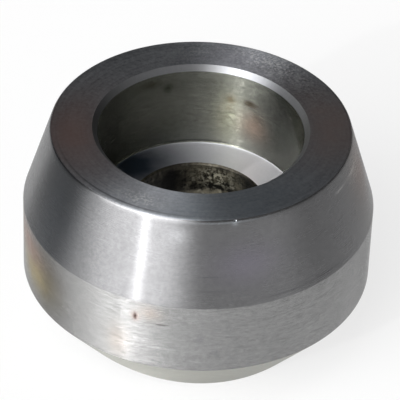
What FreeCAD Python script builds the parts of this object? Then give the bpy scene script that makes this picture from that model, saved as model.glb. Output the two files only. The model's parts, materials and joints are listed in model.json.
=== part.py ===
import FreeCAD, Part
import math
import os

# Socket weld outlet fitting, one turned and bored piece of steel.
# A pipe is welded into the socket at the top, and the saddle under the fitting
# is welded onto the outside of a larger run pipe.
# Millimetres. +Z runs up the socket axis and out of the mouth, +X runs along the
# run pipe. The origin is on the socket axis, level with the lowest points of the
# two saddle legs. Depths are measured down from the outlet face.

# Outlet end
FACE_DIAMETER = 39.6
FACE_EDGE_RADIUS = 0.5

# Socket for the branch pipe
SOCKET_DIAMETER = 27.2
SOCKET_DEPTH = 12.6
MOUTH_CHAMFER = 0.7
SOCKET_CORNER_RADIUS = 0.4

# Waterway below the socket
BORE_DIAMETER = 17.5
BORE_CHAMFER = 0.25
THROAT_LENGTH = 5.0
THROAT_BLEND_RADIUS = 3.0
INLET_STRAIGHT = 1.5
INLET_BLEND_RADIUS = 1.5

# Outside of the body
BAND_DIAMETER = 46.7
CONE_HEIGHT = 11.6
BAND_HEIGHT = 10.35
RIDGE_RADIUS = 0.4
BEVEL_ANGLE = 39.8
BEVEL_EDGE_RADIUS = 0.2

# Saddle
RUN_PIPE_DIAMETER = 88.9
FACE_TO_RUN = 27.0
LEG_LAND = 2.5
CUTTING_ALLOWANCE = 0.8

# Derived radii and depths
face_radius = FACE_DIAMETER / 2
socket_radius = SOCKET_DIAMETER / 2
mouth_radius = socket_radius + MOUTH_CHAMFER
bore_radius = BORE_DIAMETER / 2
band_radius = BAND_DIAMETER / 2
run_radius = RUN_PIPE_DIAMETER / 2
band_bottom = CONE_HEIGHT + BAND_HEIGHT
throat_bottom = SOCKET_DEPTH + THROAT_LENGTH
flare_bottom = FACE_TO_RUN - INLET_STRAIGHT
run_axis = FACE_TO_RUN + run_radius


def leg_tip_radius():
    """Radius at which the weld bevel meets the run pipe in the plane across the run.

    On the bevel the depth is band_bottom + (band_radius - r) * slope.
    On the run pipe it is run_axis - sqrt(run_radius**2 - r**2).
    Setting the two equal gives a quadratic in r.
    """
    slope = 1 / math.tan(math.radians(BEVEL_ANGLE))
    gap = run_axis - band_bottom - band_radius * slope
    a = 1 + slope**2
    b = 2 * gap * slope
    c = gap**2 - run_radius**2
    return (-b + math.sqrt(b**2 - 4 * a * c)) / (2 * a)


def corner_cut(before, corner, after, radius):
    """Arc that rounds one corner of a profile, or None for a sharp corner."""
    if radius <= 0:
        return None
    to_before = (before - corner).normalize()
    to_after = (after - corner).normalize()
    half = to_before.getAngle(to_after) / 2
    reach = radius / math.tan(half)
    bisector = (to_before + to_after).normalize()
    start = corner + to_before * reach
    end = corner + to_after * reach
    middle = corner + bisector * (radius / math.sin(half) - radius)
    return start, middle, end


def rounded_profile(corners):
    """Closed wire in the XZ plane through corners given as (radius, height, rounding)."""
    points = [FreeCAD.Vector(r, 0, z) for r, z, _ in corners]
    count = len(points)
    cuts = []
    for i in range(count):
        cuts.append(corner_cut(points[i - 1], points[i], points[(i + 1) % count], corners[i][2]))
    edges = []
    for i in range(count):
        following = (i + 1) % count
        start = cuts[i][2] if cuts[i] else points[i]
        end = cuts[following][0] if cuts[following] else points[following]
        edges.append(Part.makeLine(start, end))
        if cuts[following]:
            edges.append(Part.Arc(*cuts[following]).toShape())
    return Part.Wire(edges)


leg_radius = leg_tip_radius()
total_height = run_axis - math.sqrt(run_radius**2 - leg_radius**2)
inlet_radius = leg_radius - LEG_LAND
blank_depth = total_height + CUTTING_ALLOWANCE
blank_radius = leg_radius - CUTTING_ALLOWANCE * math.tan(math.radians(BEVEL_ANGLE))


def level(depth):
    """Height above the leg tips of a depth below the outlet face."""
    return total_height - depth


# Turned blank: outside from the mouth out and down, then the waterway back up
blank_corners = [
    (mouth_radius, level(0), 0),
    (face_radius, level(0), FACE_EDGE_RADIUS),
    (band_radius, level(CONE_HEIGHT), RIDGE_RADIUS),
    (band_radius, level(band_bottom), BEVEL_EDGE_RADIUS),
    (blank_radius, level(blank_depth), 0),
    (inlet_radius, level(blank_depth), 0),
    (inlet_radius, level(flare_bottom), INLET_BLEND_RADIUS),
    (bore_radius, level(throat_bottom), THROAT_BLEND_RADIUS),
    (bore_radius, level(SOCKET_DEPTH + BORE_CHAMFER), 0),
    (bore_radius + BORE_CHAMFER, level(SOCKET_DEPTH), 0),
    (socket_radius, level(SOCKET_DEPTH), SOCKET_CORNER_RADIUS),
    (socket_radius, level(MOUTH_CHAMFER), 0),
]
axis_point = FreeCAD.Vector(0, 0, 0)
axis_up = FreeCAD.Vector(0, 0, 1)
blank = Part.Face(rounded_profile(blank_corners)).revolve(axis_point, axis_up, 360)

# Saddle: the outside of the run pipe, cut across the underside of the blank
cutter_length = 2 * BAND_DIAMETER
cutter_start = FreeCAD.Vector(-cutter_length / 2, 0, level(run_axis))
run_pipe = Part.makeCylinder(run_radius, cutter_length, cutter_start, FreeCAD.Vector(1, 0, 0))
outlet_body = blank.cut(run_pipe)

os.makedirs("parts", exist_ok=True)
outlet_body.exportStep("parts/outlet_body.step")
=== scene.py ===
"""Dresses the socket weld outlet fitting and sets up its studio picture.

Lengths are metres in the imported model's frame: +Z runs up the socket axis and out of
the mouth, +X runs along the run pipe. Finishes work in millimetres of that frame.
"""

import json
import logging
import math
from collections.abc import Iterator
from dataclasses import dataclass, field
from enum import Enum

import bpy
from mathutils import Matrix, Vector


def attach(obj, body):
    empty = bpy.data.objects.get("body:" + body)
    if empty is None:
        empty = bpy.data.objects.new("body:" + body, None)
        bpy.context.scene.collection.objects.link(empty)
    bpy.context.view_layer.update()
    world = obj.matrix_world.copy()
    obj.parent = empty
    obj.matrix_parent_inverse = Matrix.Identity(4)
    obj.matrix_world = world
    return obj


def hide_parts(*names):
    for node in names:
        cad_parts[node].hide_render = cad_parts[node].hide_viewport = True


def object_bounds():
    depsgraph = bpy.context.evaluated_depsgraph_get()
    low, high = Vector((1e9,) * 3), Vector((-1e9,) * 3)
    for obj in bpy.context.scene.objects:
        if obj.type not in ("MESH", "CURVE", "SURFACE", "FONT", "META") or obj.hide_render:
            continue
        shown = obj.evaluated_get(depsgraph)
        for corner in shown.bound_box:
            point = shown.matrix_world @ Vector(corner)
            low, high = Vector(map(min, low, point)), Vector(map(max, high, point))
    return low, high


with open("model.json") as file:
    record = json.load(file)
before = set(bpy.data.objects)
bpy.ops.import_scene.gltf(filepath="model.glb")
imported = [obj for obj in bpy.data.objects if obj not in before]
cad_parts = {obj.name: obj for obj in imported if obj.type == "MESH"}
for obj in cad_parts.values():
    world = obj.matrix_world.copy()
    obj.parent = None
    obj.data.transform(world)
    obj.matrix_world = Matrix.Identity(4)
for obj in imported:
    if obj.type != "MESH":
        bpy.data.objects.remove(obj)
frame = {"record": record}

MM = 0.001
PER_MM = 1000.0
WHOLE_TURN = 2 * math.pi
TINY = 1e-6
# Anisotropic rotation that spreads a highlight across the tool lines.
ACROSS_THE_LINES = 0.25
# How finely the rim of a ragged mark wanders, against the mark's smaller size.
RAGGED_SCALE = 1.6
# Noise values between which a grain or a fleck goes from absent to full.
GRAIN_EDGE = (0.48, 0.60)
FLECK_EDGE = (0.54, 0.74)
log = logging.getLogger("outlet_fitting")
cad_low, cad_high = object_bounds()


class Zone(Enum):
    """Surfaces of the fitting that were made by different cuts."""

    CONE = "cone"
    BAND = "band"
    FACE = "face"
    MOUTH = "mouth"
    SOCKET = "socket"
    SHELF = "shelf"
    BORE = "bore"
    BEVEL = "bevel"
    SADDLE = "saddle"


class Across(Enum):
    """The direction that crosses the tool lines of a turned surface."""

    HEIGHT = "height"
    RADIUS = "radius"


class Signal:
    """A node socket that takes part in arithmetic: each operator adds a Math node."""

    def __init__(self, bench: "Bench", socket: bpy.types.NodeSocket) -> None:
        """Keeps the socket and the bench that new nodes go on.

        Args:
            bench: The bench of the socket's node tree.
            socket: An output socket.
        """
        self.bench = bench
        self.socket = socket

    def math(
        self, operation: str, *others: "Signal | float", clamp: bool = False
    ) -> "Signal":
        """Adds one Math node with this signal first.

        Args:
            operation: The Math node's operation.
            others: The node's other values, in order.
            clamp: True to keep the result between 0 and 1.

        Returns:
            The node's result.
        """
        values = dict(enumerate((self, *others)))
        settings = {"operation": operation, "use_clamp": clamp}
        return self.bench.signal(self.bench.node("ShaderNodeMath", settings, values))

    def __add__(self, other: "Signal | float") -> "Signal":
        """Sum."""
        return self.math("ADD", other)

    def __radd__(self, other: float) -> "Signal":
        """Sum with a number on the left."""
        return self.math("ADD", other)

    def __sub__(self, other: "Signal | float") -> "Signal":
        """Difference."""
        return self.math("SUBTRACT", other)

    def __rsub__(self, other: float) -> "Signal":
        """Difference from a number on the left."""
        return (self * -1.0).math("ADD", other)

    def __mul__(self, other: "Signal | float") -> "Signal":
        """Product."""
        return self.math("MULTIPLY", other)

    def __rmul__(self, other: float) -> "Signal":
        """Product with a number on the left."""
        return self.math("MULTIPLY", other)

    def __truediv__(self, other: "Signal | float") -> "Signal":
        """Quotient."""
        return self.math("DIVIDE", other)

    def __pow__(self, other: "Signal | float") -> "Signal":
        """Power."""
        return self.math("POWER", other)

    def __neg__(self) -> "Signal":
        """Opposite."""
        return self.math("MULTIPLY", -1.0)

    def rise(self, low: float, high: float) -> "Signal":
        """Goes smoothly from 0 at low to 1 at high.

        Args:
            low: The value that gives 0.
            high: The value that gives 1, which may be the smaller one.

        Returns:
            The stepped signal.
        """
        settings = {"interpolation_type": "SMOOTHSTEP"}
        if low > high:
            return 1.0 - self.rise(high, low)
        values = {"Value": self, "From Min": low, "From Max": high}
        return self.bench.signal(self.bench.node("ShaderNodeMapRange", settings, values))

    def fade(self) -> "Signal":
        """e to the power of minus this signal."""
        return self.bench.constant_power(math.e, -self)


class Bench:
    """A node tree being wired."""

    def __init__(self, tree: bpy.types.NodeTree) -> None:
        """Empties the tree.

        Args:
            tree: The node tree of a material or a world.
        """
        self.tree = tree
        self.tree.nodes.clear()

    def node(
        self, kind: str, settings: dict | None = None, values: dict | None = None
    ) -> bpy.types.Node:
        """Adds any node.

        Args:
            kind: The node's type.
            settings: The node's own properties, set before its sockets.
            values: Input socket names or numbers, each with a value, a signal or an
                output socket.

        Returns:
            The new node.
        """
        made = self.tree.nodes.new(kind)
        for name, setting in (settings or {}).items():
            setattr(made, name, setting)
        for name, value in (values or {}).items():
            if isinstance(value, Signal):
                self.tree.links.new(value.socket, made.inputs[name])
            elif isinstance(value, bpy.types.NodeSocket):
                self.tree.links.new(value, made.inputs[name])
            else:
                made.inputs[name].default_value = value
        return made

    def signal(self, node: bpy.types.Node, output: int | str = 0) -> Signal:
        """Wraps one output of a node.

        Args:
            node: The node.
            output: The output's name or number.

        Returns:
            The output as a signal.
        """
        return Signal(self, node.outputs[output])

    def constant_power(self, base: float, exponent: Signal) -> Signal:
        """A number to the power of a signal.

        Args:
            base: The number.
            exponent: The signal.

        Returns:
            The power.
        """
        values = {0: base, 1: exponent}
        return self.signal(self.node("ShaderNodeMath", {"operation": "POWER"}, values))

    def vector(self, x: Signal | float, y: Signal | float, z: Signal | float) -> Signal:
        """Joins three numbers to a vector.

        Args:
            x: Its first part.
            y: Its second part.
            z: Its third part.

        Returns:
            The vector.
        """
        return self.signal(self.node("ShaderNodeCombineXYZ", None, {0: x, 1: y, 2: z}))

    def noise(
        self, vector: Signal, scale: float = 1.0, detail: float = 2.0, rough: float = 0.6
    ) -> Signal:
        """Noise about 0.5.

        Args:
            vector: Where the noise is read.
            scale: Its scale.
            detail: The number of finer octaves.
            rough: The share of each finer octave.

        Returns:
            The noise's value.
        """
        values = {"Vector": vector, "Scale": scale, "Detail": detail, "Roughness": rough}
        made = self.node("ShaderNodeTexNoise", {"noise_dimensions": "3D"}, values)
        return self.signal(made)

    def blend(
        self, share: Signal | float, first: Signal | tuple, second: Signal | tuple
    ) -> Signal:
        """Mixes two colours.

        Args:
            share: 0 for the first colour, 1 for the second.
            first: A colour.
            second: A colour.

        Returns:
            The mixed colour.
        """
        settings = {"data_type": "RGBA", "clamp_factor": True}
        made = self.node("ShaderNodeMix", settings, {"Factor": share})
        for name, value in (("A_Color", first), ("B_Color", second)):
            socket = next(s for s in made.inputs if s.identifier == name)
            if isinstance(value, Signal):
                self.tree.links.new(value.socket, socket)
            else:
                socket.default_value = (*value, 1.0)
        result = next(s for s in made.outputs if s.identifier == "Result_Color")
        return Signal(self, result)


class Place:
    """Where a point of the fitting lies, in millimetres, as signals."""

    def __init__(self, bench: Bench) -> None:
        """Reads the object's own coordinates.

        Args:
            bench: The bench of the material that reads them.
        """
        self.bench = bench
        coordinates = bench.node("ShaderNodeTexCoord")
        values = {0: coordinates.outputs["Object"], "Scale": PER_MM}
        scaled = bench.node("ShaderNodeVectorMath", {"operation": "SCALE"}, values)
        self.point = bench.signal(scaled)
        parts = bench.node("ShaderNodeSeparateXYZ", None, {0: self.point})
        self.x, self.y, self.z = (bench.signal(parts, i) for i in range(3))
        self.radius = (self.x * self.x + self.y * self.y) ** 0.5
        self.cosine = self.x / self.radius
        self.sine = self.y / self.radius

    def lines(self, across: Signal, along: float, density: float) -> Signal:
        """Coordinates in which noise becomes lines round the socket axis.

        Args:
            across: The signal that grows across the lines, in millimetres.
            along: How much the lines change on their way round.
            density: Lines for each millimetre.

        Returns:
            The vector to read the noise at.
        """
        return self.bench.vector(self.cosine * along, self.sine * along, across * density)


@dataclass(frozen=True)
class StainOrPaintedLight:
    """A soft-edged mark: a real stain or scratch, or a patch of painted shade, shadow or
    highlight.

    Angles are degrees about the socket axis from +X. Sizes are millimetres: across is
    the mark's height or radius, wide its reach round the axis and tall its reach across
    the tool lines. Ragged makes its rim wander, grains breaks it up into specks of that
    size, and dent sinks its middle.
    """

    angle: float
    across: float
    wide: float
    tall: float
    colour: tuple[float, float, float]
    opacity: float
    ragged: float = 0.0
    grains: float = 0.0
    dent: float = 0.0

    def mask(self, place: Place, across: Signal) -> Signal:
        """The mark's share at each point.

        Args:
            place: Where the point is.
            across: The signal that the mark's own across value belongs to.

        Returns:
            0 outside the mark, up to its opacity in its middle.
        """
        turn = math.radians(self.angle)
        sideways = (place.y * math.cos(turn) - place.x * math.sin(turn)) / self.wide
        upright = (across - self.across) / self.tall
        facing = (place.x * math.cos(turn) + place.y * math.sin(turn)).rise(0.0, 1.0)
        spread = sideways * sideways + upright * upright
        if self.ragged:
            scale = RAGGED_SCALE / min(self.wide, self.tall)
            grain = place.bench.noise(place.point, scale, detail=3.0, rough=0.65)
            spread = spread + (grain - 0.5) * self.ragged
        share = spread.math("MAXIMUM", 0.0).fade() * facing * self.opacity
        if self.grains:
            grain = place.bench.noise(place.point, 0.5 / self.grains)
            share = share * grain.rise(*GRAIN_EDGE)
        return share


@dataclass(frozen=True)
class TurnedFinish:
    """Steel cut on a lathe: lines round the axis, patches of tone, and marks, some of them
    painted shade, shadows and highlights.

    Lengths are millimetres, colours are linear.
    """

    name: str
    across: Across
    steel: tuple[float, float, float]
    shade: tuple[float, float, float]
    roughness: float
    stretch: float
    line_density: float = 3.2
    line_depth: float = 0.0012
    hair_depth: float = 0.001
    line_tone: float = 0.25
    patch_size: float = 5.0
    patch_tone: float = 0.35
    patch_gloss: float = 0.08
    mottle_tone: float = 0.8
    mottle_depth: float = 0.003
    mottle_turn: float = 34.0
    mottle_density: float = 1.9
    line_turn: float = 2.0
    hair_turn: float = 7.0
    hair_fineness: float = 6.0
    band_turn: float = 1.1
    band_density: float = 0.45
    grit_depth: float = 0.0
    grit_size: float = 0.25
    metal: float = 1.0
    fleck: tuple[float, float, float] = (0.05, 0.05, 0.05)
    fleck_size: float = 0.3
    fleck_opacity: float = 0.0
    stains_and_painted_light: tuple[StainOrPaintedLight, ...] = ()

    def material(self) -> bpy.types.Material:
        """Builds the finish.

        Returns:
            The material.
        """
        made = bpy.data.materials.new(self.name)
        made.use_nodes = True
        bench = Bench(made.node_tree)
        place = Place(bench)
        across = place.z if self.across is Across.HEIGHT else place.radius

        hair_density = self.line_density * self.hair_fineness
        line_place = place.lines(across, self.line_turn, self.line_density)
        hair_place = place.lines(across, self.hair_turn, hair_density)
        band_place = place.lines(across, self.band_turn, self.band_density)
        mottle_place = place.lines(across, self.mottle_turn, self.mottle_density)
        fine = bench.noise(line_place, detail=3.0)
        hair = bench.noise(hair_place)
        band = bench.noise(band_place, rough=0.5)
        mottle = bench.noise(mottle_place, detail=3.0, rough=0.7)
        patch = bench.noise(place.point, 1.0 / self.patch_size, detail=4.0)
        grit = bench.noise(place.point, 1.0 / self.grit_size, detail=3.0, rough=0.7)

        tone = (patch - 0.5) * self.patch_tone + (fine - 0.5) * self.line_tone
        tone = tone + (mottle - 0.5) * self.mottle_tone
        tone = tone + (band - 0.5) * self.patch_tone + 0.5
        colour = bench.blend(tone.math("ADD", 0.0, clamp=True), self.shade, self.steel)
        height = fine * self.line_depth + hair * self.hair_depth + grit * self.grit_depth
        height = height + mottle * self.mottle_depth
        gloss = (patch - 0.5) * self.patch_gloss + (hair - 0.5) * self.patch_gloss
        gloss = gloss + self.roughness
        if self.fleck_opacity:
            spots = bench.noise(place.point, 0.5 / self.fleck_size).rise(*FLECK_EDGE)
            colour = bench.blend(spots * self.fleck_opacity, colour, self.fleck)
        # Marks in the base colour: stains and scratches, and painted shade, shadows and
        # highlights.
        for stain_or_painted_light in self.stains_and_painted_light:
            share = stain_or_painted_light.mask(place, across)
            colour = bench.blend(share, colour, stain_or_painted_light.colour)
            if stain_or_painted_light.dent:
                height = height - share * stain_or_painted_light.dent
        values = {"Strength": 1.0, "Distance": 1.0, "Height": height * MM}
        relief = bench.node("ShaderNodeBump", None, values)
        values = {
            "Base Color": colour,
            "Metallic": self.metal,
            "Roughness": gloss,
            "Anisotropic": self.stretch,
            "Anisotropic Rotation": ACROSS_THE_LINES,
            "Normal": relief.outputs[0],
        }
        shader = bench.node("ShaderNodeBsdfPrincipled", None, values)
        bench.node("ShaderNodeOutputMaterial", None, {"Surface": shader.outputs[0]})
        return made


@dataclass(frozen=True)
class Corner:
    """A corner of the turned outline: radius and height in metres, and its rounding."""

    radius: float
    height: float
    rounding: float = 0.0

    @property
    def point(self) -> Vector:
        """The corner in the XZ plane."""
        return Vector((self.radius, 0.0, self.height))


@dataclass(frozen=True)
class Pit:
    """A small hollow in a surface, cut as real geometry. Sizes are metres."""

    angle: float
    radius: float
    height: float
    size: tuple[float, float, float]


def mount(name: str) -> dict:
    """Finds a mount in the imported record.

    Args:
        name: The mount's name.

    Returns:
        The mount.
    """
    return next(m for m in frame["record"]["mounts"] if m["name"] == name)


def mount_radius(name: str) -> float:
    """Reads the radius of a round mount.

    Args:
        name: The mount's name.

    Returns:
        Its radius in metres.
    """
    return mount(name)["dims"]["r_mm"] * MM


def start_fresh() -> None:
    """Deselects everything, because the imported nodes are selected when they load."""
    bpy.ops.object.select_all(action="DESELECT")


@dataclass
class FittingBody:
    """The one-piece body: its outline, its saddle, its marks and its finishes."""

    top: float = field(default_factory=lambda: mount("outlet_face")["pos_m"][2])
    crown: float = field(default_factory=lambda: mount("run_saddle")["pos_m"][2])
    socket_radius: float = field(default_factory=lambda: mount_radius("pipe_socket"))
    bore_radius: float = field(default_factory=lambda: mount_radius("waterway"))
    band_radius: float = field(default_factory=lambda: cad_high.x)
    face_radius: float = 19.8 * MM
    socket_depth: float = 12.6 * MM
    mouth_chamfer: float = 0.7 * MM
    bore_chamfer: float = 0.25 * MM
    throat_length: float = 5.0 * MM
    inlet_straight: float = 1.5 * MM
    leg_land: float = 2.5 * MM
    cone_height: float = 11.6 * MM
    band_height: float = 10.35 * MM
    bevel_angle: float = math.radians(39.8)
    run_radius: float = 44.45 * MM
    face_edge: float = 0.5 * MM
    ridge: float = 0.4 * MM
    bevel_edge: float = 0.2 * MM
    socket_corner: float = 0.4 * MM
    throat_blend: float = 3.0 * MM
    inlet_blend: float = 1.5 * MM
    cutting_allowance: float = 0.8 * MM
    row: float = 0.45 * MM
    sides: int = 360
    arc_steps: int = 4
    smooth_angle: float = math.radians(25)
    pits: tuple[Pit, ...] = (
        Pit(
            angle=-94.3,
            radius=19.92 * MM,
            height=30.0 * MM,
            size=(0.2 * MM, 0.3 * MM, 0.2 * MM),
        ),
    )

    @property
    def run_axis(self) -> float:
        """Height of the run pipe's axis."""
        return self.crown - self.run_radius

    @property
    def band_bottom(self) -> float:
        """Height of the band's lower edge."""
        return self.top - self.cone_height - self.band_height

    def bevel_radius(self, height: float) -> float:
        """Radius of the weld bevel.

        Args:
            height: A height below the band.

        Returns:
            The radius there.
        """
        return self.band_radius - (self.band_bottom - height) * math.tan(self.bevel_angle)

    def corners(self) -> list[Corner]:
        """The turned outline, from the mouth out and down, then up the waterway again."""
        mouth = self.socket_radius + self.mouth_chamfer
        shelf = self.top - self.socket_depth
        inlet = self.bevel_radius(0.0) - self.leg_land
        below = -self.cutting_allowance
        return [
            Corner(mouth, self.top),
            Corner(self.face_radius, self.top, self.face_edge),
            Corner(self.band_radius, self.top - self.cone_height, self.ridge),
            Corner(self.band_radius, self.band_bottom, self.bevel_edge),
            Corner(self.bevel_radius(below), below),
            Corner(inlet, below),
            Corner(inlet, self.crown + self.inlet_straight, self.inlet_blend),
            Corner(self.bore_radius, shelf - self.throat_length, self.throat_blend),
            Corner(self.bore_radius, shelf - self.bore_chamfer),
            Corner(self.bore_radius + self.bore_chamfer, shelf),
            Corner(self.socket_radius, shelf, self.socket_corner),
            Corner(self.socket_radius, self.top - self.mouth_chamfer),
            Corner(mouth, self.top),
        ]

    def rounded(self, before: Corner, corner: Corner, after: Corner) -> list[Vector]:
        """Points of one corner, as an arc where it is rounded.

        Args:
            before: The corner before.
            corner: The corner itself.
            after: The corner after.

        Returns:
            Its points, in the order of the outline.
        """
        if not corner.rounding:
            return [corner.point]
        back = (before.point - corner.point).normalized()
        ahead = (after.point - corner.point).normalized()
        half = back.angle(ahead) / 2
        reach = corner.rounding / math.tan(half)
        inwards = (back + ahead).normalized()
        centre = corner.point + inwards * (corner.rounding / math.sin(half))
        start = corner.point + back * reach - centre
        turn = math.pi - 2 * half
        end = corner.point + ahead * reach - centre
        axis = start.cross(end).normalized()
        steps = [turn * i / self.arc_steps for i in range(self.arc_steps + 1)]
        return [centre + Matrix.Rotation(a, 3, axis) @ start for a in steps]

    def outline(self) -> Iterator[Vector]:
        """The outline's points, with rows along its straight stretches.

        Yields:
            Each point after the first corner, down to the last.
        """
        corners = self.corners()
        last = corners[0].point
        for i in range(1, len(corners)):
            after = corners[min(i + 1, len(corners) - 1)]
            points = self.rounded(corners[i - 1], corners[i], after)
            stretch = points[0] - last
            rows = max(1, math.ceil(stretch.length / self.row))
            for k in range(1, rows + 1):
                yield last + stretch * (k / rows)
            yield from points[1:]
            last = points[-1]

    def turn_blank(self) -> bpy.types.Object:
        """Turns the blank: draws the outline from one vertex and spins it round the axis.

        Returns:
            The blank.
        """
        start_fresh()
        start = self.corners()[0].point
        weld = self.row / 100
        bpy.ops.mesh.primitive_plane_add(size=self.row, location=start)
        blank = bpy.context.object
        bpy.ops.object.mode_set(mode="EDIT")
        bpy.ops.mesh.select_all(action="SELECT")
        bpy.ops.mesh.merge(type="CENTER")
        last = start
        for point in self.outline():
            step = {"value": point - last}
            bpy.ops.mesh.extrude_vertices_move(TRANSFORM_OT_translate=step)
            last = point
        bpy.ops.mesh.select_all(action="SELECT")
        bpy.ops.mesh.spin(
            steps=self.sides, angle=WHOLE_TURN, center=(0, 0, 0), axis=(0, 0, 1)
        )
        bpy.ops.mesh.select_all(action="SELECT")
        bpy.ops.mesh.remove_doubles(threshold=weld)
        bpy.ops.mesh.normals_make_consistent(inside=False)
        bpy.ops.object.mode_set(mode="OBJECT")
        bpy.ops.object.transform_apply(location=True, rotation=True, scale=True)
        return blank

    def run_pipe_cutter(self) -> bpy.types.Object:
        """The run pipe's outside, longer than the fitting is wide.

        Returns:
            The cutter.
        """
        start_fresh()
        bpy.ops.mesh.primitive_cylinder_add(
            vertices=2 * self.sides,
            radius=self.run_radius,
            depth=4 * self.band_radius,
            location=(0, 0, self.run_axis),
            rotation=(0, math.pi / 2, 0),
        )
        return bpy.context.object

    def pit_cutter(self, pit: Pit) -> bpy.types.Object:
        """A small rough lump that leaves a pit.

        Args:
            pit: The pit to cut.

        Returns:
            The cutter.
        """
        start_fresh()
        turn = math.radians(pit.angle)
        place = (pit.radius * math.cos(turn), pit.radius * math.sin(turn), pit.height)
        bpy.ops.mesh.primitive_ico_sphere_add(
            subdivisions=3, radius=1, location=place, scale=pit.size
        )
        lump = bpy.context.object
        lump.rotation_euler.z = turn
        return lump

    def cut(self, blank: bpy.types.Object, cutters: list[bpy.types.Object]) -> None:
        """Cuts the blank with some cutters, which are then removed.

        Args:
            blank: The piece to cut.
            cutters: Closed solids that don't meet each other.
        """
        for cutter in cutters:
            start_fresh()
            blank.select_set(True)
            bpy.context.view_layer.objects.active = blank
            knife = blank.modifiers.new("cut", "BOOLEAN")
            knife.operation = "DIFFERENCE"
            knife.solver = "EXACT"
            knife.object = cutter
            bpy.ops.object.modifier_apply(modifier=knife.name)
            bpy.data.objects.remove(cutter)

    def zone(self, centre: Vector, normal: Vector) -> Zone:
        """Which cut made a face.

        Args:
            centre: The face's centre.
            normal: Its normal.

        Returns:
            The zone.
        """
        radius = math.hypot(centre.x, centre.y)
        level = 0.7
        hair = 0.02 * MM
        shelf = self.top - self.socket_depth
        from_run_axis = math.hypot(centre.y, centre.z - self.run_axis)
        on_run = abs(from_run_axis - self.run_radius) < hair
        if on_run and normal.z < 0:
            return Zone.SADDLE
        if normal.z > level and centre.z > self.top - self.mouth_chamfer:
            inner = radius < self.socket_radius + self.mouth_chamfer
            return Zone.MOUTH if inner else Zone.FACE
        if normal.x * centre.x + normal.y * centre.y > 0:
            if centre.z > self.top - self.cone_height:
                return Zone.CONE
            return Zone.BAND if centre.z > self.band_bottom else Zone.BEVEL
        if centre.z > self.top - self.mouth_chamfer:
            return Zone.MOUTH
        if radius > self.bore_radius + self.bore_chamfer and centre.z > shelf - hair:
            return Zone.SHELF if normal.z > level else Zone.SOCKET
        return Zone.BORE

    def dress(self, body: bpy.types.Object, finishes: dict[Zone, TurnedFinish]) -> None:
        """Gives each zone its material and shades the piece.

        Args:
            body: The finished mesh.
            finishes: A finish for each zone.
        """
        body.data.materials.clear()
        slots = {}
        for zone, finish in finishes.items():
            slots[zone] = len(body.data.materials)
            body.data.materials.append(finish.material())
        for polygon in body.data.polygons:
            polygon.material_index = slots[self.zone(polygon.center, polygon.normal)]
        start_fresh()
        body.select_set(True)
        bpy.context.view_layer.objects.active = body
        bpy.ops.object.shade_smooth_by_angle(angle=self.smooth_angle)

    def build(self, finishes: dict[Zone, TurnedFinish]) -> bpy.types.Object:
        """Makes the whole piece.

        Args:
            finishes: A finish for each zone.

        Returns:
            The piece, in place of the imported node.
        """
        body = self.turn_blank()
        cutters = [self.run_pipe_cutter()]
        cutters += [self.pit_cutter(pit) for pit in self.pits]
        self.cut(body, cutters)
        self.dress(body, finishes)
        body.name = "turned_body"
        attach(body, "root")
        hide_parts("outlet_body")
        return body


@dataclass(frozen=True)
class Glow:
    """A soft light patch of the studio dome.

    Angles are degrees, azimuth from the camera.
    """

    azimuth: float
    elevation: float
    narrow: float
    flat: float
    radiance: float

    def light(self, bench: Bench, direction: Signal, heading: float) -> Signal:
        """The patch's radiance in each direction.

        Args:
            bench: The world's bench.
            direction: The direction looked in.
            heading: The camera's heading in degrees.

        Returns:
            The radiance.
        """
        parts = bench.node("ShaderNodeSeparateXYZ", None, {0: direction})
        x, y, z = (bench.signal(parts, i) for i in range(3))
        turn = math.radians(heading + self.azimuth)
        level = (x * x + y * y + TINY) ** 0.5
        along = (x * math.sin(turn) - y * math.cos(turn)) / level
        lift = z - math.sin(math.radians(self.elevation))
        sideways = (1.0 - along) * self.narrow
        spread = sideways * sideways + lift * lift * self.flat
        return spread.fade() * self.radiance


@dataclass(frozen=True)
class Flag:
    """A dark flag beside the fitting. Angles are degrees, azimuth from the camera."""

    azimuth: float
    spread: float
    edge: float
    density: float

    def cover(self, place: Place, heading: float) -> Signal:
        """How much of the view towards each point of the ring the flag covers.

        Args:
            place: Where the point is.
            heading: The camera's heading in degrees.

        Returns:
            0 beside the flag, up to its density in its middle.
        """
        turn = math.radians(heading + self.azimuth)
        along = place.cosine * math.sin(turn) - place.sine * math.cos(turn)
        outer = math.cos(math.radians(self.spread + self.edge / 2))
        inner = math.cos(math.radians(max(0.0, self.spread - self.edge / 2)))
        return along.rise(outer, inner) * self.density


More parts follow.
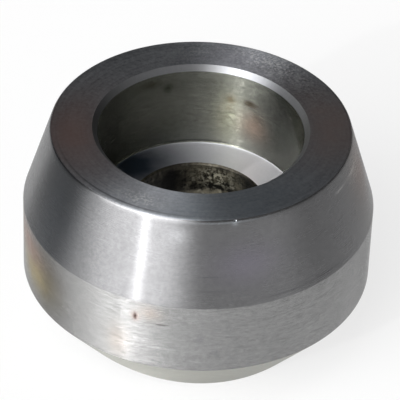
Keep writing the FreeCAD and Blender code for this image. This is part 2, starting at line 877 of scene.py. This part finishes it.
@dataclass(frozen=True)
class Studio:
    """Floor, dome and lamp, laid out round the camera's heading."""

    heading: float
    low_dome: float = 0.03
    high_dome: float = 0.24
    dome_full: float = 0.7
    glows: tuple[Glow, ...] = (
        Glow(azimuth=-41, elevation=24, narrow=6.4, flat=3.0, radiance=8.2),
    )
    lamp_azimuth: float = -36.0
    lamp_elevation: float = 25.0
    lamp_angle: float = 1.5
    lamp_strength: float = 0.85
    floor_size: float = 8.0
    floor_white: float = 0.75
    floor_shade: float = 0.9
    flags: tuple[Flag, ...] = (
        Flag(azimuth=-94, spread=18, edge=20, density=0.78),
        Flag(azimuth=-132, spread=14, edge=20, density=0.25),
        Flag(azimuth=118, spread=62, edge=30, density=0.5),
        Flag(azimuth=172, spread=22, edge=30, density=0.35),
    )
    flag_radius: float = 0.06
    flag_height: float = 0.06
    flag_sides: int = 96
    flag_shade: float = 0.02

    def build_world(self) -> None:
        """Builds the dome."""
        world = bpy.data.worlds.new("studio_dome")
        bpy.context.scene.world = world
        world.use_nodes = True
        bench = Bench(world.node_tree)
        direction = bench.signal(bench.node("ShaderNodeTexCoord"), "Generated")
        parts = bench.node("ShaderNodeSeparateXYZ", None, {0: direction})
        height = bench.signal(parts, 2)
        light = height.rise(0.0, self.dome_full) * (self.high_dome - self.low_dome)
        light = light + self.low_dome
        for glow in self.glows:
            light = light + glow.light(bench, direction, self.heading)
        background = bench.node("ShaderNodeBackground", None, {"Strength": light})
        bench.node("ShaderNodeOutputWorld", None, {"Surface": background.outputs[0]})

    def towards(self, azimuth: float, elevation: float) -> Vector:
        """The direction from the fitting to a lamp.

        Args:
            azimuth: Degrees from the camera's heading.
            elevation: Degrees above the floor.

        Returns:
            The direction.
        """
        turn = math.radians(self.heading + azimuth)
        lift = math.radians(elevation)
        level = math.cos(lift)
        return Vector((math.sin(turn) * level, -math.cos(turn) * level, math.sin(lift)))

    def build_lamp(self) -> None:
        """Adds the key lamp, which draws the bright line down the steel."""
        key = bpy.data.lights.new("key_lamp", "SUN")
        key.energy = self.lamp_strength
        key.angle = math.radians(self.lamp_angle)
        away = self.towards(self.lamp_azimuth, self.lamp_elevation)
        holder = bpy.data.objects.new(key.name, key)
        bpy.context.scene.collection.objects.link(holder)
        holder.location = away
        holder.rotation_euler = away.to_track_quat("Z", "Y").to_euler()
        holder.visible_camera = False

    def build_floor(self) -> None:
        """Lays the pale floor, which the camera and the steel see nearly white."""
        start_fresh()
        bpy.ops.mesh.primitive_plane_add(size=self.floor_size, location=(0, 0, 0))
        floor = bpy.context.object
        floor.name = "studio_floor"
        paint = bpy.data.materials.new("floor_paint")
        paint.use_nodes = True
        bench = Bench(paint.node_tree)
        rays = bench.node("ShaderNodeLightPath")
        seen = bench.signal(rays, "Is Camera Ray")
        seen = seen.math("MAXIMUM", bench.signal(rays, "Is Glossy Ray"))
        seen = seen.math("MAXIMUM", bench.signal(rays, "Is Transmission Ray"))
        shade = (self.floor_shade,) * 3
        matt = bench.node("ShaderNodeBsdfDiffuse", None, {"Color": (*shade, 1.0)})
        values = {"Color": (1.0, 1.0, 1.0, 1.0), "Strength": 1.0}
        white = bench.node("ShaderNodeEmission", None, values)
        values = {0: seen * self.floor_white, 1: matt.outputs[0], 2: white.outputs[0]}
        mixed = bench.node("ShaderNodeMixShader", None, values)
        bench.node("ShaderNodeOutputMaterial", None, {"Surface": mixed.outputs[0]})
        floor.data.materials.append(paint)

    def build_flags(self) -> None:
        """Stands a ring of soft dark flags round the fitting, seen only in the steel."""
        start_fresh()
        bpy.ops.mesh.primitive_cylinder_add(
            vertices=self.flag_sides,
            radius=self.flag_radius,
            depth=self.flag_height,
            end_fill_type="NOTHING",
            location=(0, 0, self.flag_height / 2),
        )
        ring = bpy.context.object
        ring.name = "studio_flags"
        bpy.ops.object.transform_apply(location=True, rotation=True, scale=True)
        ring.visible_camera = False
        ring.visible_diffuse = False
        ring.visible_shadow = False
        cloth = bpy.data.materials.new("flag_cloth")
        cloth.use_nodes = True
        bench = Bench(cloth.node_tree)
        place = Place(bench)
        cover = sum(flag.cover(place, self.heading) for flag in self.flags)
        shade = (self.flag_shade,) * 3
        black = bench.node("ShaderNodeBsdfDiffuse", None, {"Color": (*shade, 1.0)})
        clear = bench.node("ShaderNodeBsdfTransparent")
        values = {0: cover, 1: clear.outputs[0], 2: black.outputs[0]}
        mixed = bench.node("ShaderNodeMixShader", None, values)
        bench.node("ShaderNodeOutputMaterial", None, {"Surface": mixed.outputs[0]})
        ring.data.materials.append(cloth)

    def build(self) -> None:
        """Builds the whole studio."""
        self.build_world()
        self.build_lamp()
        self.build_floor()
        self.build_flags()
        bpy.context.scene.view_settings.view_transform = "Standard"


@dataclass(frozen=True)
class PhotoCamera:
    """The camera at the photograph's place. Angles are degrees, lengths metres."""

    heading: float = -18.0
    elevation: float = 38.126
    distance: float = 0.3906
    aim_right: float = 0.2135 * MM
    aim_up: float = 2.3638 * MM
    roll: float = 2.246
    lens: float = 262.02
    sensor: float = 36.0
    clip_start: float = 0.01
    clip_end: float = 20.0

    def build(self, middle: float) -> bpy.types.Object:
        """Adds the camera and makes it the scene's own.

        Args:
            middle: Height of the fitting's middle, which the camera turns about.

        Returns:
            The camera.
        """
        turn = math.radians(self.heading)
        lift = math.radians(self.elevation)
        level = math.cos(lift)
        back = Vector((math.sin(turn) * level, -math.cos(turn) * level, math.sin(lift)))
        right = Vector((math.cos(turn), math.sin(turn), 0.0))
        up = back.cross(right)
        pivot = Vector((0.0, 0.0, middle))
        place = pivot + back * self.distance
        aim = pivot + right * self.aim_right + up * self.aim_up
        data = bpy.data.cameras.new("photo_camera")
        data.lens = self.lens
        data.sensor_width = self.sensor
        data.clip_start = self.clip_start
        data.clip_end = self.clip_end
        camera = bpy.data.objects.new("photo_camera", data)
        bpy.context.scene.collection.objects.link(camera)
        level_view = (aim - place).to_track_quat("-Z", "Y").to_matrix().to_4x4()
        rolled = level_view @ Matrix.Rotation(math.radians(self.roll), 4, "Z")
        camera.matrix_world = Matrix.Translation(place) @ rolled
        bpy.context.scene.camera = camera
        return camera


def cone_finish(top: float) -> TurnedFinish:
    """The cone: bright, with heat tints, a brown patch and short scratches, and with
    painted dark reflections, a painted edge highlight and a painted glint.

    Args:
        top: Height of the outlet face in millimetres, from which marks are placed.

    Returns:
        The finish.
    """
    return TurnedFinish(
        "turned_cone", Across.HEIGHT, (0.29, 0.29, 0.295), (0.19, 0.19, 0.195), 0.26, 1.0,
        line_depth=0.0015, hair_depth=0.003, line_tone=0.25, mottle_tone=1.1,
        stains_and_painted_light=(
            StainOrPaintedLight(-114.0, top - 2.2, 1.3, 1.0, (0.60, 0.61, 0.63), 0.25, ragged=2.5),
            StainOrPaintedLight(
                -152.0, top - 4.5, 4.0, 4.0, (0.55, 0.55, 0.55), 0.15,
                ragged=1.5, grains=0.14,
            ),
            # Painted reflection: a dark patch on the right of the cone.
            StainOrPaintedLight(-28.0, top - 8.0, 4.0, 7.0, (0.15, 0.145, 0.14), 0.6),
            StainOrPaintedLight(-104.0, top - 7.4, 1.5, 0.09, (0.12, 0.12, 0.13), 0.4, ragged=1.5),
            StainOrPaintedLight(-103.0, top - 9.3, 1.8, 0.10, (0.12, 0.12, 0.13), 0.35, ragged=1.5),
            StainOrPaintedLight(-32.6, top - 2.2, 1.6, 0.15, (0.75, 0.74, 0.72), 0.6, ragged=2.0),
            StainOrPaintedLight(-45.4, top - 2.2, 1.2, 0.12, (0.75, 0.74, 0.72), 0.5, ragged=2.0),
            StainOrPaintedLight(-60.0, top - 10.8, 3.5, 0.12, (0.10, 0.10, 0.11), 0.5, ragged=1.5),
            StainOrPaintedLight(-78.0, top - 10.9, 2.5, 0.10, (0.10, 0.10, 0.11), 0.4, ragged=1.5),
            StainOrPaintedLight(-91.0, top - 6.0, 4.0, 2.5, (0.34, 0.31, 0.40), 0.4),
            # Painted reflection: a broad blue-grey darkening on the left of the cone.
            StainOrPaintedLight(-166.0, top - 6.0, 4.5, 9.0, (0.20, 0.22, 0.245), 0.7),
            # Painted highlight: a pale blue line along the rounded top edge of the cone.
            StainOrPaintedLight(-97.0, top - 0.4, 4.0, 0.14, (0.72, 0.77, 0.82), 0.45),
            # Painted glint: a pale dot on the nick.
            StainOrPaintedLight(-94.3, top - 0.6, 0.4, 0.3, (0.80, 0.86, 0.92), 0.3),
            StainOrPaintedLight(-24.0, top - 4.0, 3.5, 3.5, (0.26, 0.17, 0.14), 0.65, ragged=1.2),
            StainOrPaintedLight(-30.0, top - 2.6, 3.0, 1.6, (0.62, 0.58, 0.54), 0.5, grains=0.13),
        ),
    )


def band_finish(top: float) -> TurnedFinish:
    """The band: a little paler, with a yellow heat tint and a small pit, a painted broad
    highlight and a patch of painted shade.

    Args:
        top: Height of the outlet face in millimetres, from which marks are placed.

    Returns:
        The finish.
    """
    return TurnedFinish(
        "turned_band", Across.HEIGHT, (0.36, 0.36, 0.36), (0.24, 0.24, 0.24), 0.25, 1.0,
        line_depth=0.002, hair_depth=0.060, line_tone=0.3, mottle_tone=1.0,
        stains_and_painted_light=(
            # Painted highlight: a broad pale patch on the front left of the band.
            StainOrPaintedLight(-135.0, top - 16.5, 7.0, 12.0, (0.52, 0.52, 0.51), 0.5),
            StainOrPaintedLight(-165.0, top - 16.6, 3.6, 5.0, (0.13, 0.115, 0.08), 0.75, ragged=1.0),
            StainOrPaintedLight(-174.0, top - 17.2, 4.0, 2.6, (0.46, 0.37, 0.16), 0.85, ragged=0.8),
            StainOrPaintedLight(-179.0, top - 14.2, 4.5, 2.2, (0.38, 0.23, 0.17), 0.85, ragged=0.8),
            # Painted shade: a tall dark patch on the right of the band.
            StainOrPaintedLight(-34.0, top - 16.5, 3.2, 12.0, (0.17, 0.17, 0.17), 0.7),
            StainOrPaintedLight(-122.0, top - 13.2, 1.6, 1.2, (0.52, 0.43, 0.36), 0.35, ragged=0.9),
            StainOrPaintedLight(-133.0, top - 19.0, 1.4, 2.6, (0.52, 0.43, 0.36), 0.35, ragged=0.9),
            StainOrPaintedLight(-118.2, top - 14.75, 0.75, 0.10, (0.08, 0.07, 0.07), 0.75, ragged=1.5),
            StainOrPaintedLight(-126.8, top - 14.1, 0.55, 0.70, (0.50, 0.36, 0.30), 0.5, ragged=0.5),
            StainOrPaintedLight(
                -126.8, top - 14.1, 0.24, 0.55, (0.06, 0.03, 0.025), 0.95,
                ragged=0.8, dent=0.03,
            ),
            StainOrPaintedLight(-105.8, top - 16.7, 0.5, 0.45, (0.22, 0.22, 0.23), 0.5, ragged=2.5),
            StainOrPaintedLight(-100.9, top - 18.8, 0.5, 0.4, (0.22, 0.22, 0.23), 0.4, ragged=2.5),
        ),
    )


def face_finish() -> TurnedFinish:
    """The face: dark, faced in fine rings, with brown and bluish tints, patches of painted
    shade and pale specks of painted glints.

    Returns:
        The finish.
    """
    return TurnedFinish(
        "faced_end", Across.RADIUS, (0.47, 0.485, 0.515), (0.18, 0.19, 0.205), 0.40, 0.9,
        line_depth=0.005, line_tone=0.9, mottle_tone=1.5, mottle_depth=0.006,
        patch_tone=0.5,
        stains_and_painted_light=(
            StainOrPaintedLight(171.6, 17.0, 8.0, 4.0, (0.45, 0.30, 0.27), 0.8),
            StainOrPaintedLight(-15.0, 17.0, 8.0, 4.0, (0.45, 0.34, 0.31), 0.8, ragged=0.8),
            StainOrPaintedLight(-92.0, 17.0, 13.0, 5.0, (0.29, 0.34, 0.39), 0.55, ragged=0.8),
            # Painted shade: a dark patch that dims the face's light at the front.
            StainOrPaintedLight(-128.0, 17.0, 5.0, 4.0, (0.20, 0.20, 0.21), 0.5, ragged=0.6),
            # Painted glints: pale specks on the back right of the face.
            StainOrPaintedLight(46.0, 17.6, 9.0, 2.4, (0.80, 0.80, 0.80), 0.6, grains=0.17),
            # Painted shade: dark specks beside the painted glints.
            StainOrPaintedLight(30.0, 17.0, 6.0, 2.8, (0.10, 0.10, 0.11), 0.5, grains=0.22),
            # Painted shade: a dark patch at the back of the face.
            StainOrPaintedLight(60.0, 17.0, 5.0, 4.0, (0.17, 0.17, 0.19), 0.75, ragged=0.6),
            # Painted glints: pale specks at the front of the face.
            StainOrPaintedLight(-133.0, 17.5, 3.0, 1.5, (0.70, 0.70, 0.68), 0.3, grains=0.16),
            StainOrPaintedLight(-144.0, 19.1, 10.0, 0.13, (0.07, 0.07, 0.08), 0.7),
        ),
    )


def mouth_finish(top: float) -> TurnedFinish:
    """The chamfer at the socket's mouth, with three patches of painted shade.

    Args:
        top: Height of the outlet face in millimetres, from which marks are placed.

    Returns:
        The finish.
    """
    return TurnedFinish(
        "mouth_chamfer", Across.HEIGHT, (0.39, 0.40, 0.42), (0.28, 0.28, 0.29), 0.42, 0.85,
        metal=0.85,
        stains_and_painted_light=(
            # Painted shade: three dark patches round the chamfer.
            StainOrPaintedLight(70.0, top - 0.35, 3.2, 2.0, (0.20, 0.20, 0.20), 0.5),
            StainOrPaintedLight(152.0, top - 0.35, 8.5, 2.0, (0.10, 0.10, 0.10), 0.9),
            StainOrPaintedLight(-20.0, top - 0.35, 6.0, 2.0, (0.20, 0.20, 0.19), 0.75),
        ),
    )


def socket_finish(top: float) -> TurnedFinish:
    """The socket's wall: olive steel with small brown and black spots, with painted shade
    at the top, in the foot corner and on the shaded side, and a painted olive highlight.

    Args:
        top: Height of the outlet face in millimetres, from which marks are placed.

    Returns:
        The finish.
    """
    return TurnedFinish(
        "bored_socket", Across.HEIGHT, (0.32, 0.325, 0.285), (0.20, 0.205, 0.18), 0.25, 1.0,
        line_depth=0.002, hair_depth=0.060, mottle_tone=1.4, mottle_depth=0.0012,
        stains_and_painted_light=(
            # Painted shade: a dark band along the top of the wall.
            StainOrPaintedLight(80.0, top - 2.0, 11.0, 3.6, (0.13, 0.135, 0.115), 0.55),
            StainOrPaintedLight(55.8, top - 4.8, 0.65, 0.65, (0.10, 0.055, 0.02), 0.9, ragged=1.2),
            StainOrPaintedLight(56.5, top - 6.3, 0.40, 0.45, (0.12, 0.07, 0.03), 0.5, ragged=1.2),
            StainOrPaintedLight(43.5, top - 4.7, 1.10, 0.50, (0.06, 0.04, 0.02), 0.9, ragged=1.5),
            StainOrPaintedLight(38.0, top - 6.6, 0.70, 0.40, (0.08, 0.06, 0.03), 0.45, ragged=1.5),
            StainOrPaintedLight(92.2, top - 3.1, 0.65, 0.60, (0.04, 0.04, 0.025), 0.85, ragged=1.2),
            StainOrPaintedLight(104.0, top - 1.9, 1.60, 0.55, (0.07, 0.06, 0.03), 0.7, ragged=1.5),
            StainOrPaintedLight(40.0, top - 8.3, 2.2, 2.2, (0.42, 0.30, 0.23), 0.7),
            # Painted highlight: an olive glow beside the wall's bright line.
            StainOrPaintedLight(58.0, top - 8.0, 2.0, 4.0, (0.42, 0.42, 0.30), 0.6),
            # Painted shade: a dark line where the wall turns into the shelf.
            StainOrPaintedLight(76.0, top - 12.2, 6.0, 0.16, (0.05, 0.05, 0.05), 0.8),
            # Painted shadow: a large dark patch on the side of the wall away from the
            # light.
            StainOrPaintedLight(136.0, top - 7.0, 6.5, 12.0, (0.06, 0.06, 0.05), 0.85),
        ),
    )


def shelf_finish() -> TurnedFinish:
    """The shelf at the foot of the socket: pale steel, with a painted shadow that makes one
    side dark.

    Returns:
        The finish.
    """
    return TurnedFinish(
        "faced_shelf", Across.RADIUS, (0.70, 0.70, 0.74), (0.58, 0.58, 0.62), 0.45, 0.6,
        metal=0.45,
        # Painted shadow: the mouth's shadow on the shelf, near-black navy.
        stains_and_painted_light=(StainOrPaintedLight(121.0, 11.6, 8.6, 8.0, (0.015, 0.024, 0.038), 1.0, ragged=0.3),),
    )


def bore_finish(top: float) -> TurnedFinish:
    """The bore: rough dark scale, with bright flecks that are partly pale scale and partly
    painted glints, a painted pool of light and painted shadows.

    Args:
        top: Height of the outlet face in millimetres, from which marks are placed.

    Returns:
        The finish.
    """
    return TurnedFinish(
        "drilled_bore", Across.HEIGHT, (0.34, 0.31, 0.23), (0.012, 0.011, 0.008), 0.45, 0.2,
        line_density=1.2, line_tone=1.2, patch_size=0.7, patch_tone=3.4, grit_depth=0.05,
        # Bright flecks: partly pale scale, partly painted glints.
        fleck=(0.85, 0.80, 0.64), fleck_size=0.5, fleck_opacity=0.5,
        stains_and_painted_light=(
            # Painted light: a pool of light with glints on the bore's far wall.
            StainOrPaintedLight(57.0, top - 14.6, 2.4, 1.4, (0.90, 0.86, 0.68), 0.9, grains=0.28),
            # Painted shadow: two black patches where the bore lies in shade.
            StainOrPaintedLight(104.0, top - 16.0, 6.8, 9.0, (0.004, 0.004, 0.004), 1.0, ragged=0.6),
            StainOrPaintedLight(18.0, top - 15.0, 3.2, 8.0, (0.01, 0.01, 0.008), 0.95, ragged=0.8),
            # Painted shade: a dark rim just below the shelf.
            StainOrPaintedLight(50.0, top - 12.75, 14.0, 0.4, (0.05, 0.045, 0.04), 0.6),
        ),
    )


def bevel_finish() -> TurnedFinish:
    """The welding bevel: plain turned steel.

    Returns:
        The finish.
    """
    return TurnedFinish(
        "turned_bevel", Across.HEIGHT, (0.41, 0.41, 0.375), (0.30, 0.30, 0.275), 0.40, 0.8
    )


def saddle_finish() -> TurnedFinish:
    """The saddle: plain milled steel.

    Returns:
        The finish.
    """
    return TurnedFinish(
        "milled_saddle", Across.HEIGHT, (0.38, 0.38, 0.385), (0.27, 0.27, 0.275), 0.42, 0.3
    )


def finishes(top: float) -> dict[Zone, TurnedFinish]:
    """The finish of each zone.

    Args:
        top: Height of the outlet face in millimetres, from which marks are placed.

    Returns:
        A finish for every zone of the body.
    """
    return {
        Zone.CONE: cone_finish(top),
        Zone.BAND: band_finish(top),
        Zone.FACE: face_finish(),
        Zone.MOUTH: mouth_finish(top),
        Zone.SOCKET: socket_finish(top),
        Zone.SHELF: shelf_finish(),
        Zone.BORE: bore_finish(top),
        Zone.BEVEL: bevel_finish(),
        Zone.SADDLE: saddle_finish(),
    }


def main() -> None:
    """Builds the fitting, the studio and the camera."""
    logging.basicConfig(level=logging.INFO, format="%(name)s: %(message)s")
    body = FittingBody()
    piece = body.build(finishes(body.top / MM))
    log.info("%s has %d faces", piece.name, len(piece.data.polygons))
    camera = PhotoCamera()
    Studio(camera.heading).build()
    camera.build(body.top / 2)
    log.info("studio and camera are in place")


if __name__ == "__main__":
    main()
